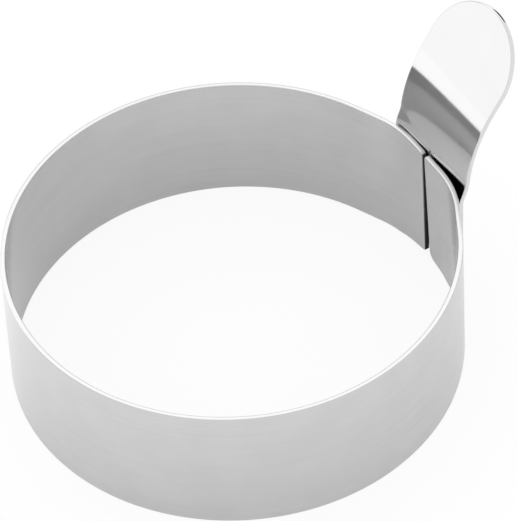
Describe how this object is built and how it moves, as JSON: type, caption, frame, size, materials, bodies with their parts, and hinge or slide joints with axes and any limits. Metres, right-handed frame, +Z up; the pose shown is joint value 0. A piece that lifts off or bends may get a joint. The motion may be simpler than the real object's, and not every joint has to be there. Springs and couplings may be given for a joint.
{
  "type": "egg ring",
  "caption": "Round stainless steel ring that holds a frying egg in shape, open at top and base, with an outward-leaning flat handle spot-welded across the joint of its rolled strip.",
  "frame": {"origin": "middle of the bounding box's footprint, on the surface that the ring's lower rim stands on", "axes": "+Z up along the ring's axis, +X from the ring towards the handle"},
  "size_m": [0.09, 0.0768, 0.0529],
  "materials": {
    "satin_steel": "fine satin stainless sheet with deburred bright edges",
    "polished_steel": "mirror-polished stainless sheet",
    "weld_steel": "dull fused stainless steel"
  },
  "bodies": {
    "root": {"ring_band": "satin_steel", "handle": "polished_steel", "spot_weld_upper_left": "weld_steel", "spot_weld_upper_right": "weld_steel", "spot_weld_lower_left": "weld_steel", "spot_weld_lower_right": "weld_steel"}
  },
  "joints": []
}
